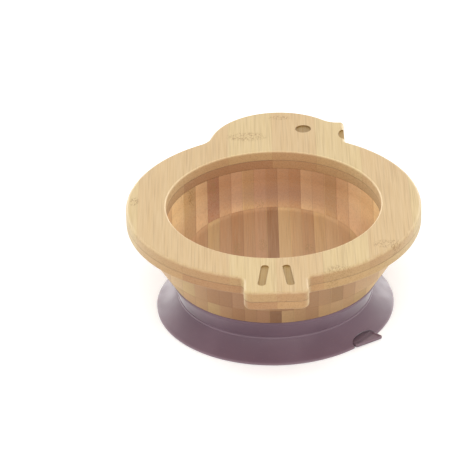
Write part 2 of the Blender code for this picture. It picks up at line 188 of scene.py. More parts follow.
world = bpy.data.worlds.new("white sky")
world.use_nodes = True
sky = world.node_tree.nodes["Background"]
sky.inputs["Color"].default_value = WHITE
sky_way = world.node_tree.nodes.new("ShaderNodeTexCoord")
sky_parts = world.node_tree.nodes.new("ShaderNodeSeparateXYZ")
sky_range = world.node_tree.nodes.new("ShaderNodeMapRange")
sky_range.inputs["From Min"].default_value = 0.0
sky_range.inputs["From Max"].default_value = SKY_HIGH_FROM
sky_range.inputs["To Min"].default_value = SKY_LOW
sky_range.inputs["To Max"].default_value = SKY_HIGH
world.node_tree.links.new(sky_way.outputs["Generated"], sky_parts.inputs[0])
world.node_tree.links.new(sky_parts.outputs["Z"], sky_range.inputs["Value"])
world.node_tree.links.new(sky_range.outputs["Result"], sky.inputs["Strength"])
bpy.context.scene.world = world


def soft_lamp(name, at, towards, size, watts):
    """A square soft box, aimed at a point."""
    lamp = bpy.data.objects.new(name, bpy.data.lights.new(name, "AREA"))
    lamp.data.size = size
    lamp.data.energy = watts
    lamp.location = at
    lamp.rotation_mode = "QUATERNION"
    lamp.rotation_quaternion = (Vector(towards) - Vector(at)).to_track_quat("-Z", "Y")
    bpy.context.scene.collection.objects.link(lamp)
    return lamp


soft_lamp("soft_box", LAMP_AT, (0, 0, 0), LAMP_SIZE, LAMP_WATTS)
for side in (-1, 1):
    back_at = (side * BACK_AT[0], BACK_AT[1], BACK_AT[2])
    soft_lamp(f"back_light_{side}", back_at, (0, 0, 0), BACK_SIZE, BACK_WATTS)
print("sky", SKY_LOW, "to", SKY_HIGH, "lamps", LAMP_WATTS, "W and twice", BACK_WATTS, "W")

# %% [markdown]
# ## How a material is written here
#
# Every finish is a small recipe of nodes. Two helpers keep the recipes short: one adds a
# node with its settings and links, and one starts a finish with its Principled shader.
# Patterns read Object coordinates, turned into millimetres, so that a grain can be given
# its real size and runs on from one piece to the next, as the grain of one board does.


# %% Node helpers
def add(tree, kind, inputs=None, **settings):
    """Add a shader node. An input given as a socket is linked, anything else is set."""
    node = tree.nodes.new("ShaderNode" + kind)
    for name, value in settings.items():
        setattr(node, name, value)
    for name, value in (inputs or {}).items():
        if isinstance(value, bpy.types.NodeSocket):
            tree.links.new(value, node.inputs[name])
        else:
            node.inputs[name].default_value = value
    return node


def sums(tree, operation, *values):
    """A Math node's result."""
    return add(tree, "Math", dict(enumerate(values)), operation=operation).outputs[0]


def blend_colours(tree, share, under, over, how="MIX"):
    """Lay one colour over another by a share from 0 to 1."""
    node = add(tree, "Mix", data_type="RGBA", blend_type=how)
    for socket, value in ((node.inputs[0], share), (node.inputs[6], under), (node.inputs[7], over)):
        if isinstance(value, bpy.types.NodeSocket):
            tree.links.new(value, socket)
        else:
            socket.default_value = value
    return node.outputs[2]


def between(tree, value, low, high, start=0.0, end=1.0):
    """Turn a value that runs from low to high into one from start to end, softly."""
    inputs = {"Value": value, "From Min": low, "From Max": high, "To Min": start, "To Max": end}
    return add(tree, "MapRange", inputs, interpolation_type="SMOOTHSTEP").outputs["Result"]


def start_finish(name, roughness, specular=0.4):
    """A new material with its shader, and a place in millimetres on the piece."""
    material = bpy.data.materials.new(name)
    material.use_nodes = True
    tree = material.node_tree
    shader = tree.nodes["Principled BSDF"]
    shader.inputs["Roughness"].default_value = roughness
    shader.inputs["Specular IOR Level"].default_value = specular
    where = add(tree, "TexCoord").outputs["Object"]
    in_mm = add(tree, "VectorMath", {0: where, "Scale": 1000.0}, operation="SCALE").outputs[0]
    return material, tree, shader, in_mm


def stretched(tree, in_mm, across, along, up, shift=0.0):
    """A place measured in grains: so many millimetres across, along and up to each."""
    size = (1 / across, 1 / along, 1 / up)
    return add(tree, "Mapping", {"Vector": in_mm, "Location": (shift,) * 3, "Scale": size}).outputs[0]


# %% [markdown]
# ## Bamboo
#
# Bamboo is a bundle of dark fibres in paler, softer tissue, all running the length of the
# cane. Here they run along Y. One pattern of long thin cells does for every face: where
# a face runs with the grain the cells show as fine dashes, and where it cuts across the
# grain they show as dots. Across the grain the wood also drinks more oil, so end grain
# is darker and redder than the faces beside it. That is what makes the back and front
# of the hollow brown and its two sides golden.


# %% Fibres, streaks and end grain
def fibres(tree, in_mm, pitch, length):
    """Dark fibre bundles, from 0 in the tissue to 1 in a bundle."""
    cells = add(tree, "TexVoronoi", {"Vector": stretched(tree, in_mm, pitch, length, pitch),
                                     "Scale": 1.0}, feature="F1").outputs["Distance"]
    return between(tree, cells, 0.50, 0.18)


def streaks(tree, in_mm, width, length, shift=0.0):
    """Soft light and dark bands along the grain, from 0 to 1."""
    inputs = {"Vector": stretched(tree, in_mm, width, length, width, shift), "Scale": 1.0,
              "Detail": 2.0, "Roughness": 0.55}
    return between(tree, add(tree, "TexNoise", inputs).outputs["Fac"], 0.30, 0.70)


def end_grain(tree):
    """How squarely a face cuts across the grain, from 0 to 1."""
    normal = add(tree, "TexCoord").outputs["Normal"]
    facing = add(tree, "SeparateXYZ", {0: normal}).outputs["Y"]
    return between(tree, sums(tree, "ABSOLUTE", facing), 0.25, 0.95)


def facing_out(tree, in_mm):
    """How far a face looks away from the bowl's axis, from -1 for towards it to 1."""
    flat = add(tree, "VectorMath", {0: in_mm, 1: (1, 1, 0)}, operation="MULTIPLY").outputs[0]
    away = add(tree, "VectorMath", {0: flat}, operation="NORMALIZE").outputs[0]
    normal = add(tree, "TexCoord").outputs["Normal"]
    return add(tree, "VectorMath", {0: normal, 1: away}, operation="DOT_PRODUCT").outputs["Value"]


def glue_line(tree, in_mm, height, half):
    """A dark hairline at the height where two boards are glued together, from 0 to 1."""
    z = add(tree, "SeparateXYZ", {0: in_mm}).outputs["Z"]
    away = sums(tree, "ABSOLUTE", sums(tree, "SUBTRACT", z, height / MM))
    return between(tree, away, half, half * 0.4)


# %% [markdown]
# The boards are glued up from strips, and each strip comes from its own cane. A colour
# ramp with hard steps holds one tone for each strip, in the order in which they lie,
# written as a row of letters from left to right. A ramp is easy to read and to rearrange,
# which a random number for each strip isn't.

# %% Tones of the strips
TONES = {
    "L": paint(238, 207, 145),
    "l": paint(227, 191, 137),
    "m": paint(214, 174, 123),
    "d": paint(200, 157, 109),
    "D": paint(180, 135, 97),
}


def strip_tones(tree, x_mm, letters, first_x, pitch, tones=TONES):
    """The tone of the strip that holds a place, from a row of letters."""
    count = len(letters)
    share = sums(tree, "DIVIDE", sums(tree, "SUBTRACT", x_mm, first_x), pitch * count)
    ramp = add(tree, "ValToRGB", {"Fac": share})
    stops = ramp.color_ramp
    stops.interpolation = "CONSTANT"
    while len(stops.elements) < count:
        stops.elements.new(len(stops.elements) / count)
    for number, letter in enumerate(letters):
        stops.elements[number].position = number / count
        stops.elements[number].color = tones[letter]
    return ramp.outputs["Color"]


# %% [markdown]
# A cane has a node every hand's width or so, where its fibres swirl and knot. A few of
# them land in the boards and show as small speckled patches. Each patch is a place and a
# size on the board, and the swirl inside it is a fine noise, darker than the board.


# %% Speckled patches
def patch(tree, in_mm, x, y, half_x, half_y):
    """How far inside an oval patch a place is, from 0 at its edge to 1."""
    moved = add(tree, "VectorMath", {0: in_mm, 1: (x, y, 0)}, operation="SUBTRACT").outputs[0]
    flat = (1 / half_x, 1 / half_y, 0)
    shaped = add(tree, "VectorMath", {0: moved, 1: flat}, operation="MULTIPLY").outputs[0]
    away = add(tree, "VectorMath", {0: shaped}, operation="LENGTH").outputs["Value"]
    return between(tree, away, 1.0, 0.55)


def swirls(tree, in_mm, places):
    """Speckled patches at several places, from 0 to 1."""
    inside = None
    for place in places:
        one = patch(tree, in_mm, *place)
        inside = one if inside is None else sums(tree, "MAXIMUM", inside, one)
    noise = add(tree, "TexNoise", {"Vector": stretched(tree, in_mm, 0.7, 1.5, 1.0), "Scale": 1.0,
                                   "Detail": 3.0, "Distortion": 0.8}).outputs["Fac"]
    return sums(tree, "MULTIPLY", inside, between(tree, noise, 0.46, 0.62))


# %% Browns and yellows inside the bamboo
BAND_BROWN = (0.45, 0.33, 0.20, 1.0)
HONEY = (1.0, 0.88, 0.62, 1.0)
FIBRE_BROWN = (0.28, 0.16, 0.07, 1.0)
KNOT_BROWN = (0.30, 0.18, 0.07, 1.0)
GLUE_BROWN = (0.16, 0.08, 0.035, 1.0)
WORN_EDGE = paint(236, 214, 172)
GLUE_HALF = 0.30             # half the height of the line between the rim's boards, in mm


# %% The bamboo finish
def bamboo(name, tone, swirl_places=(), fibre_pitch=0.95, fibre_dark=0.22, streak_width=2.2,
           end_tint=(0.70, 0.59, 0.52, 1.0), inner_painted_light=None, outer_painted_shade=None, up_painted_shade=None,
           edge_wear=0.0, roughness=0.5):
    """Oiled bamboo. tone is a function that gives the board's colour from the place in mm."""
    material, tree, shader, in_mm = start_finish(name, roughness)
    colour = tone(tree, in_mm)
    broad = streaks(tree, in_mm, streak_width, 70.0)
    fine = streaks(tree, in_mm, 0.45, 24.0, shift=5.0)
    colour = blend_colours(tree, sums(tree, "MULTIPLY", broad, 0.16), colour, BAND_BROWN)
    colour = blend_colours(tree, sums(tree, "MULTIPLY", fine, 0.10), colour, HONEY)
    dark = fibres(tree, in_mm, fibre_pitch, 38.0)
    colour = blend_colours(tree, sums(tree, "MULTIPLY", dark, fibre_dark), colour, FIBRE_BROWN)
    ends = end_grain(tree)
    colour = blend_colours(tree, ends, colour, end_tint, how="MULTIPLY")
    # Painted shade: faces that look away from the bowl's axis are made darker.
    if outer_painted_shade:
        outer = between(tree, facing_out(tree, in_mm), 0.05, 0.4)
        colour = blend_colours(tree, outer, colour, outer_painted_shade, how="MULTIPLY")
    # Painted light: faces that look in towards the bowl's axis are made lighter.
    if inner_painted_light:
        inner = between(tree, facing_out(tree, in_mm), -0.05, -0.4)
        colour = blend_colours(tree, inner, colour, inner_painted_light, how="MULTIPLY")
    up = add(tree, "SeparateXYZ", {0: add(tree, "TexCoord").outputs["Normal"]}).outputs["Z"]
    # Painted shade: faces that look up, such as the floor of the hollow, are made darker.
    if up_painted_shade:
        colour = blend_colours(tree, between(tree, up, 0.15, 0.85), colour, up_painted_shade, how="MULTIPLY")
    if edge_wear:
        worn = sums(tree, "MULTIPLY", between(tree, up, 0.15, 0.6), between(tree, up, 0.99, 0.85))
        worn = sums(tree, "MULTIPLY", worn, between(tree, broad, 0.1, 0.8, 0.4, 1.0))
        colour = blend_colours(tree, sums(tree, "MULTIPLY", worn, edge_wear), colour, WORN_EDGE)
    if swirl_places:
        swirl = swirls(tree, in_mm, swirl_places)
        colour = blend_colours(tree, sums(tree, "MULTIPLY", swirl, 0.7), colour, KNOT_BROWN)
    seam = glue_line(tree, in_mm, PLY_Z, GLUE_HALF)
    colour = blend_colours(tree, sums(tree, "MULTIPLY", seam, 0.40), colour, GLUE_BROWN)
    tree.links.new(colour, shader.inputs["Base Color"])
    rough = sums(tree, "ADD", between(tree, ends, 0, 1, roughness - 0.05, roughness + 0.08),
                 sums(tree, "MULTIPLY", fine, 0.08))
    tree.links.new(rough, shader.inputs["Roughness"])
    relief = sums(tree, "SUBTRACT", sums(tree, "MULTIPLY", broad, 0.4), dark)
    bump = add(tree, "Bump", {"Height": relief, "Strength": 0.5, "Distance": 0.04 * MM})
    tree.links.new(bump.outputs["Normal"], shader.inputs["Normal"])
    return material


# %% [markdown]
# The two rim boards are pressed flat: their strips lie on their broad face, about 23 mm
# wide, and are pale and even, so their joints hardly show. The rim's worn outer edge has
# lost some of its oil and is a little paler.

# %% Finishes of the rim boards
FLAT_STRIP = 23.2            # width of a flat strip, in mm
FLAT_JOINT_X = 0.3           # X of the joint nearest to the axis, in mm
FLAT_JOINT_BROWN = paint(150, 112, 66)
FLAT_TONES = {"l": paint(196, 170, 121), "m": paint(192, 161, 115), "d": paint(178, 142, 101)}


def flat_board_tone(order):
    """Broad pale strips, one tone each from a row of letters, with hair-thin joints."""
    def tone(tree, in_mm):
        x = add(tree, "SeparateXYZ", {0: in_mm}).outputs["X"]
        first_x = FLAT_JOINT_X - FLAT_STRIP * len(order) / 2
        colour = strip_tones(tree, x, order, first_x, FLAT_STRIP, FLAT_TONES)
        strips = sums(tree, "DIVIDE", sums(tree, "SUBTRACT", x, FLAT_JOINT_X), FLAT_STRIP)
        to_joint = sums(tree, "ABSOLUTE", sums(tree, "SUBTRACT", sums(tree, "FRACT", strips), 0.5))
        joint = between(tree, to_joint, 0.492, 0.4995)
        return blend_colours(tree, sums(tree, "MULTIPLY", joint, 0.35), colour, FLAT_JOINT_BROWN)
    return tone


UPPER_SWIRLS = [(-13, 72, 13, 6), (32, -71, 10, 9), (57, -44, 10, 5), (-71, 4, 3, 6), (5, 93, 7, 3)]
LOWER_SWIRLS = [(28, -70, 4, 9)]
RIM_WEAR = 0.15
# Painted light: the mouth's inner faces are made lighter, on the upper board more than on the lower.
upper_bamboo = bamboo("pale bamboo", flat_board_tone("lmmlmlml"), UPPER_SWIRLS,
                      end_tint=(0.69, 0.57, 0.50, 1.0), inner_painted_light=(1.24, 1.31, 1.40, 1.0),
                      edge_wear=RIM_WEAR)
lower_bamboo = bamboo("pale bamboo under it", flat_board_tone("lmddmlll"), LOWER_SWIRLS,
                      end_tint=(0.74, 0.61, 0.52, 1.0), inner_painted_light=(1.03, 1.01, 1.08, 1.0),
                      edge_wear=RIM_WEAR)

# %% [markdown]
# ## Drawing the chick
#
# The rim's outline is all straight lines and arcs that run into each other, as drawn with
# a ruler and a compass, so it is drawn that way here. The pen is a single vertex. The
# spin operator swings it about a centre and leaves a chain of edges behind, and a
# straight line is one more vertex. The outline could also be a Bezier curve, but then
# its radii would only be close to the real ones.

# %% Sizes of the chick
HEAD_R = 36.8 * MM
HEAD = Vector((3.3 * MM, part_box("rim_upper_ply")[1].y - HEAD_R))
NECK_FILLET = 11.0 * MM
BEAK_X = 39.0 * MM
BEAK_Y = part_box("rim_upper_ply")[1].y - 13.1 * MM
BEAK_CORNER = 1.9 * MM
BEAK_FILLET = 12.0 * MM
BEAK_ROOT_FILLET = 2.0 * MM
FEET_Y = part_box("rim_upper_ply")[0].y
FEET_HALF_W = 16.0 * MM
FEET_CORNER = 4.8 * MM
FEET_FILLET = 3.0 * MM
print("head centre:", HEAD / MM, "feet at", round(FEET_Y / MM, 2))


# %% Pen and compass
def arc_steps(radius, turn):
    """Enough steps that the chords stay within a hundredth of a millimetre of the arc."""
    finest = 2 * math.acos(1 - 0.008 * MM / radius)
    return max(4, math.ceil(abs(turn) / finest))


def swing(bm, pen, centre, end, clockwise=False):
    """Swing the pen round a centre until it points at the end."""
    centre = Vector((centre[0], centre[1], pen.co.z))
    start = pen.co - centre
    turn = math.atan2(end[1] - centre.y, end[0] - centre.x) - math.atan2(start.y, start.x)
    turn = turn % (2 * math.pi) - (2 * math.pi if clockwise else 0)
    last = bmesh.ops.spin(bm, geom=[pen], cent=centre, axis=(0, 0, 1), angle=turn,
                          steps=arc_steps(start.length, turn))["geom_last"]
    return next(item for item in last if isinstance(item, bmesh.types.BMVert))


def rule(bm, pen, x, y):
    """Draw a straight line to a point."""
    tip = bmesh.ops.extrude_vert_indiv(bm, verts=[pen])["verts"][0]
    tip.co = (x, y, pen.co.z)
    return tip


# %% Where the arcs touch
def fillet_beside(x, radius, side):
    """Centre of a fillet that touches the line at X and the round rim from outside."""
    across = x + radius
    return Vector((across, side * math.sqrt((RIM_R + radius) ** 2 - across ** 2)))


def fillet_between(other, other_r, radius):
    """Centre of a fillet that touches the round rim and another circle, on its left."""
    along = ((RIM_R + radius) ** 2 - (other_r + radius) ** 2 + other.length_squared) / (2 * other.length)
    aside = math.sqrt((RIM_R + radius) ** 2 - along ** 2)
    unit = other.normalized()
    return unit * along + Vector((-unit.y, unit.x)) * aside


AXIS = Vector((0, 0))
right_foot = fillet_beside(FEET_HALF_W, FEET_FILLET, -1)
left_foot = Vector((-right_foot.x, right_foot.y))
beak_root = fillet_beside(BEAK_X, BEAK_ROOT_FILLET, 1)
neck = fillet_between(HEAD, HEAD_R, NECK_FILLET)
brow_y = BEAK_Y + BEAK_FILLET
brow = Vector((HEAD.x + math.sqrt((HEAD_R + BEAK_FILLET) ** 2 - (brow_y - HEAD.y) ** 2), brow_y))


# %% The outline
def draw_chick(bm, z):
    """The rim's outline as a closed chain of edges, counter-clockwise from the feet."""
    pen = bm.verts.new((-FEET_HALF_W + FEET_CORNER, FEET_Y, z))
    pen = rule(bm, pen, FEET_HALF_W - FEET_CORNER, FEET_Y)
    corner = (FEET_HALF_W - FEET_CORNER, FEET_Y + FEET_CORNER)
    pen = swing(bm, pen, corner, (FEET_HALF_W, FEET_Y + FEET_CORNER))
    pen = rule(bm, pen, FEET_HALF_W, right_foot.y)
    pen = swing(bm, pen, right_foot, AXIS, clockwise=True)
    pen = swing(bm, pen, AXIS, beak_root)
    pen = swing(bm, pen, beak_root, (BEAK_X, beak_root.y), clockwise=True)
    pen = rule(bm, pen, BEAK_X, BEAK_Y - BEAK_CORNER)
    pen = swing(bm, pen, (BEAK_X - BEAK_CORNER, BEAK_Y - BEAK_CORNER), (BEAK_X - BEAK_CORNER, BEAK_Y))
    pen = rule(bm, pen, brow.x, BEAK_Y)
    pen = swing(bm, pen, brow, HEAD, clockwise=True)
    pen = swing(bm, pen, HEAD, neck)
    pen = swing(bm, pen, neck, AXIS, clockwise=True)
    pen = swing(bm, pen, AXIS, left_foot)
    pen = swing(bm, pen, left_foot, (-FEET_HALF_W, left_foot.y), clockwise=True)
    pen = rule(bm, pen, -FEET_HALF_W, FEET_Y + FEET_CORNER)
    swing(bm, pen, (-FEET_HALF_W + FEET_CORNER, FEET_Y + FEET_CORNER), (-FEET_HALF_W + FEET_CORNER, FEET_Y))
    bmesh.ops.remove_doubles(bm, verts=bm.verts, dist=0.01 * MM)


bm = bmesh.new()
draw_chick(bm, 0.0)
print("outline:", len(bm.verts), "points,", round(sum(e.calc_length() for e in bm.edges) / MM), "mm round")
bm.free()

# %% [markdown]
# ## Turning a mesh into a piece
#
# Each piece ends the same way: doubles merged, faces turned outwards, shaded smooth with
# sharp edges where the surface turns a corner, and given its finish. The bamboo pieces are then tied to the
# frame.


# %% Make a piece
def make_piece(bm, name, *finishes, sharp=32.0):
    """A finished mesh object at the origin, with its place in its mesh."""
    bmesh.ops.remove_doubles(bm, verts=bm.verts, dist=0.002 * MM)
    bmesh.ops.recalc_face_normals(bm, faces=bm.faces)
    if bm.calc_volume(signed=True) < 0:
        bmesh.ops.reverse_faces(bm, faces=bm.faces)
    mesh = bpy.data.meshes.new(name)
    bm.to_mesh(mesh)
    bm.free()
    for finish in finishes:
        mesh.materials.append(finish)
    mesh.shade_smooth()
    mesh.set_sharp_from_angle(angle=math.radians(sharp))
    piece = bpy.data.objects.new(name, mesh)
    bpy.context.scene.collection.objects.link(piece)
    return piece


def tie(piece, body, slot, *stands_for):
    """Ride on a body and stand for the frame's plain solids. The slot is not used."""
    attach(piece, body)
    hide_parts(*stands_for)
    print(piece.name, "stands for", len(stands_for), "node(s),", len(piece.data.polygons), "faces")


# %% [markdown]
# ## The two rim boards
#
# The outline is filled with one face and raised to the board's thickness. Its edge is
# rounded by insetting the top face in small steps that follow a quarter circle, which
# stays even round the tight corners of the beak, where a bevel would run into itself.
# The mouth is turned as a tube of its own, and the flat faces are filled between the two
# loops. A last narrow inset keeps the shading of the wide flat face clean.

# %% Sizes of the rim's edges
EDGE_ROUND = 1.6 * MM
MOUTH_ROUND = 1.0 * MM
SEAM_EASE = 0.12 * MM
SHADE_BAND = 0.4 * MM
ROUND_STEPS = 7


def round_cap(bm, cap, radius, steps):
    """Round the edge of a flat end face by insetting it along a quarter circle."""
    for step in range(steps):
        low, high = (math.radians(90 * s / steps) for s in (step, step + 1))
        inward = radius * (math.cos(low) - math.cos(high))
        outward = radius * (math.sin(high) - math.sin(low))
        bmesh.ops.inset_region(bm, faces=[cap], thickness=inward, depth=outward,
                               use_boundary=True, use_even_offset=True)
    bmesh.ops.inset_region(bm, faces=[cap], thickness=SHADE_BAND, depth=0.0,
                           use_boundary=True, use_even_offset=True)


# %% A turned tube
def turn_round(profile, steps=192, closed=False):
    """Spin a chain of (radius, height) points about the bowl's axis."""
    bm = bmesh.new()
    chain = [bm.verts.new((r, 0, z)) for r, z in profile]
    edges = [bm.edges.new(pair) for pair in zip(chain, chain[1:])]
    if closed:
        edges.append(bm.edges.new((chain[-1], chain[0])))
    bmesh.ops.spin(bm, geom=chain + edges, cent=(0, 0, 0), axis=(0, 0, 1),
                   angle=2 * math.pi, steps=steps, use_merge=True)
    bmesh.ops.remove_doubles(bm, verts=bm.verts, dist=0.001 * MM)
    return bm


def quarter(centre_r, centre_z, radius, start, end, steps):
    """Points of an arc in a profile, from one angle to another, in degrees."""
    angles = [math.radians(start + (end - start) * i / steps) for i in range(steps + 1)]
    return [(centre_r + radius * math.cos(a), centre_z + radius * math.sin(a)) for a in angles]


# %% A rim board
def rim_board(name, z_low, z_high, finish, top_round, low_round, mouth_round):
    """A flat board with the chick's outline and the round mouth."""
    bm = bmesh.new()
    draw_chick(bm, z_low + low_round)
    floor_face = bm.faces.new(ordered_loop(bm))
    raised = bmesh.ops.extrude_face_region(bm, geom=[floor_face])["geom"]
    top_face = next(item for item in raised if isinstance(item, bmesh.types.BMFace))
    bmesh.ops.translate(bm, verts=top_face.verts[:], vec=(0, 0, z_high - top_round - z_low - low_round))
    bmesh.ops.recalc_face_normals(bm, faces=bm.faces)
    round_cap(bm, top_face, top_round, 1 if top_round == SEAM_EASE else ROUND_STEPS)
    round_cap(bm, floor_face, low_round, 1 if low_round == SEAM_EASE else ROUND_STEPS)
    bmesh.ops.delete(bm, geom=[top_face, floor_face], context="FACES_ONLY")
    upper_edge = quarter(MOUTH_R + mouth_round, z_high - mouth_round, mouth_round, 180, 90, 5)
    tube = turn_round([(MOUTH_R + SEAM_EASE, z_low), (MOUTH_R, z_low + SEAM_EASE)] + upper_edge
                      + [(MOUTH_R + mouth_round + SHADE_BAND, z_high)])
    add_mesh(bm, tube)
    for z in (z_low, z_high):
        rims = [e for e in bm.edges if e.is_boundary and abs(e.verts[0].co.z - z) < 0.01 * MM]
        bmesh.ops.triangle_fill(bm, edges=rims, use_beauty=True)
    return make_piece(bm, name, finish)


def ordered_loop(bm):
    """The vertices of a single closed chain of edges, in order."""
    first = bm.verts[:][0]
    loop, edge = [first], first.link_edges[0]
    while True:
        following = edge.other_vert(loop[-1])
        if following is first:
            return loop
        loop.append(following)
        edge = next(e for e in following.link_edges if e is not edge)


def add_mesh(bm, other):
    """Join another bmesh into this one."""
    carrier = bpy.data.meshes.new("carrier")
    other.to_mesh(carrier)
    other.free()
    bm.from_mesh(carrier)
    bpy.data.meshes.remove(carrier)


# %% Make the rim boards
lower_board = rim_board("lower_rim_board", RIM_Z + HAIR / 2, PLY_Z, lower_bamboo,
                        SEAM_EASE, EDGE_ROUND, SEAM_EASE)
upper_board = rim_board("upper_rim_board", PLY_Z + HAIR / 2, TOP_Z, upper_bamboo,
                        EDGE_ROUND, SEAM_EASE, MOUTH_ROUND)
print("rim boards:", len(lower_board.data.vertices), len(upper_board.data.vertices), "corners")

# %% [markdown]
# ## Eye, mouth line and toes
#
# On the real bowl these are shallow pockets, milled and then seared. They are cut out of
# the upper board with a Boolean, whose manifold solver copes with the mouth line where it
# runs off the beak's edge. Each cutter begins as a circle. Scaling makes it an oval, and
# sliding its two halves apart makes it a slot with round ends. It widens a little at the
# top, so that the pocket has an eased edge.

# %% Seared bamboo
def one_tone(light, dark):
    """Two close shades of one colour, in soft bands along the grain."""
    def tone(tree, in_mm):
        return blend_colours(tree, streaks(tree, in_mm, 3.0, 9.0), light, dark)
    return tone


POCKET_END_TINT = (0.8, 0.72, 0.66, 1.0)
seared = bamboo("seared bamboo", one_tone(paint(142, 108, 50), paint(133, 101, 46)),
                end_tint=POCKET_END_TINT)
milled = bamboo("milled bamboo", one_tone(paint(154, 119, 56), paint(144, 111, 52)),
                end_tint=POCKET_END_TINT)

# %% Pocket cutters
POCKET_DEPTH = 0.7 * MM
POCKET_EASE = 0.15 * MM
POCKET_POINTS = 48
TOP_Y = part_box("rim_upper_ply")[1].y


def ring_of_pocket(bm, at, half_x, half_y, run, turn, z):
    """One oval or slot outline of a pocket at a height."""
    half_step = Matrix.Rotation(math.pi / POCKET_POINTS, 4, "Z")
    ring = bmesh.ops.create_circle(bm, segments=POCKET_POINTS, radius=1.0, matrix=half_step)["verts"]
    bmesh.ops.scale(bm, verts=ring, vec=(half_x, half_y, 1))
    for side in (-1, 1):
        half = [v for v in ring if v.co.y * side > 0]
        bmesh.ops.translate(bm, verts=half, vec=(0, side * run, 0))
    place = Matrix.Translation((at[0], at[1], z)) @ Matrix.Rotation(turn, 4, "Z")
    bmesh.ops.transform(bm, verts=ring, matrix=place)
    return [e for e in bm.edges if all(v in ring for v in e.verts)]


def pocket(at, half_x, half_y, run=0.0, turn=0.0):
    """A closed cutter for one pocket."""
    bm = bmesh.new()
    levels = ((TOP_Z - POCKET_DEPTH, 0.0), (TOP_Z - POCKET_EASE, 0.0),
              (TOP_Z + POCKET_EASE, 2 * POCKET_EASE))
    rings = [ring_of_pocket(bm, at, half_x + grow, half_y + grow, run, turn, z) for z, grow in levels]
    for low, high in zip(rings, rings[1:]):
        bmesh.ops.bridge_loops(bm, edges=low + high)
    bmesh.ops.holes_fill(bm, edges=[e for e in bm.edges if e.is_boundary], sides=0)
    return bm


# %% Carve
def carve(piece, cutters):
    """Cut closed meshes out of a piece. Each is given with the finish that it leaves."""
    bm = bmesh.new()
    for number, (cutter, _) in enumerate(cutters):
        for face in cutter.faces:
            face.material_index = number
        add_mesh(bm, cutter)
    tool = make_piece(bm, "cutter", *[finish for _, finish in cutters])
    cut = piece.modifiers.new("carve", "BOOLEAN")
    cut.operation = "DIFFERENCE"
    cut.solver = "MANIFOLD"
    cut.material_mode = "TRANSFER"
    cut.object = tool
    seen = bpy.context.evaluated_depsgraph_get()
    carved = bpy.data.meshes.new_from_object(piece.evaluated_get(seen))
    piece.modifiers.clear()
    piece.data = carved
    carved.name = piece.name
    carved.shade_smooth()
    carved.set_sharp_from_angle(angle=math.radians(32))
    bpy.data.objects.remove(tool)


# %% Cut the pockets
TOE_R = 1.9 * MM
TOE_RUN = 7.85 * MM
TOE_FAN = math.radians(6.5)
TOE_X = 6.2 * MM
TOE_SET_BACK = 16.8 * MM
EYE_R = 4.1 * MM
EYE_X = 17.2 * MM
EYE_DROP = 20.7 * MM
MOUTH_LINE = (3.2 * MM, 5.2 * MM)
MOUTH_LINE_DROP = 27.6 * MM

toes = [pocket((side * TOE_X, FEET_Y + TOE_SET_BACK), TOE_R, TOE_R, TOE_RUN, side * TOE_FAN)
        for side in (-1, 1)]
eye = pocket((EYE_X, TOP_Y - EYE_DROP), EYE_R, EYE_R)
mouth_line = pocket((BEAK_X, TOP_Y - MOUTH_LINE_DROP), *MOUTH_LINE)
carve(upper_board, [(eye, seared), (mouth_line, milled), (toes[0], milled), (toes[1], milled)])
tie(lower_board, "bowl", "rim_bamboo", "rim_lower_ply")
tie(upper_board, "bowl", "rim_bamboo", "rim_upper_ply")

# %% [markdown]
# ## The wall board and the floor board
#
# Both are turned: one profile, spun round the axis, gives the sloping outside, the hollow
# and the fillet between wall and floor. The hollow's fillet runs through both boards, so
# one arc is shared out between them at the seam. The turned ring is then sawn along the
# glue lines, with one copy for each strip. Sawing after turning is how the real bowl's
# strips get their curved ends, and every strip stays a piece of its own.

# %% Profiles
FLOOR_FILLET = 14.0 * MM
FOOT_CHAMFER = 0.8 * MM
TURN_STEPS = 240
seam_angle = math.degrees(math.acos(1 - (SEAM_Z - FLOOR_Z) / FLOOR_FILLET))
taper = (WALL_TOP_R - SHOULDER_R) / (RIM_Z - PARTING / 2 - SHOULDER_Z)


def outside(z):
    """Radius of the bowl's sloping outside at a height."""
    return SHOULDER_R + taper * (z - SHOULDER_Z)


def fillet(start, end, steps):
    """Part of the arc between the flat floor and the wall, by its angle from the floor."""
    return quarter(FLAT_R, FLOOR_Z + FLOOR_FILLET, FLOOR_FILLET, start - 90, end - 90, steps)


wall_top = RIM_Z - HAIR / 2
wall_profile = [(outside(SEAM_Z), SEAM_Z + HAIR / 2), (outside(wall_top), wall_top),
                (MOUTH_R, wall_top)] + fillet(90, seam_angle, 12)
floor_profile = [(0, FOOT_Z), (FOOT_R - FOOT_CHAMFER, FOOT_Z), (FOOT_R, FOOT_Z + FOOT_CHAMFER),
                 (FOOT_R, SHOULDER_Z), (SHOULDER_R, SHOULDER_Z),
                 (outside(SEAM_Z), SEAM_Z - HAIR / 2)] + fillet(seam_angle, 0, 4) + [(0, FLOOR_Z)]
print("the seam meets the fillet", round(seam_angle, 1), "degrees up")


# %% Saw a strip
def saw(bm, at, away):
    """Cut through a plane, drop the side that 'away' points to, and close the cut."""
    bmesh.ops.bisect_plane(bm, geom=bm.verts[:] + bm.edges[:] + bm.faces[:], dist=0.0001 * MM,
                           plane_co=at, plane_no=away, clear_outer=True)
    bmesh.ops.holes_fill(bm, edges=[e for e in bm.edges if e.is_boundary], sides=0)


def strip(ring, name, finish, left=None, right=None, side=0):
    """One strip of a turned board, between two glue lines, or its back or front half."""
    bm = ring.copy()
    if left is not None:
        saw(bm, (left, 0, 0), (-1, 0, 0))
    if right is not None:
        saw(bm, (right, 0, 0), (1, 0, 0))
    if side:
        saw(bm, (0, 0, 0), (0, -side, 0))
    return make_piece(bm, name, finish)


# %% [markdown]
# The row of letters for each board is the order of its canes, from the left of the bowl
# to its right. The wall has one very dark strip near its left side, and the floor a dark
# one in its middle with the brightest of all beside it.

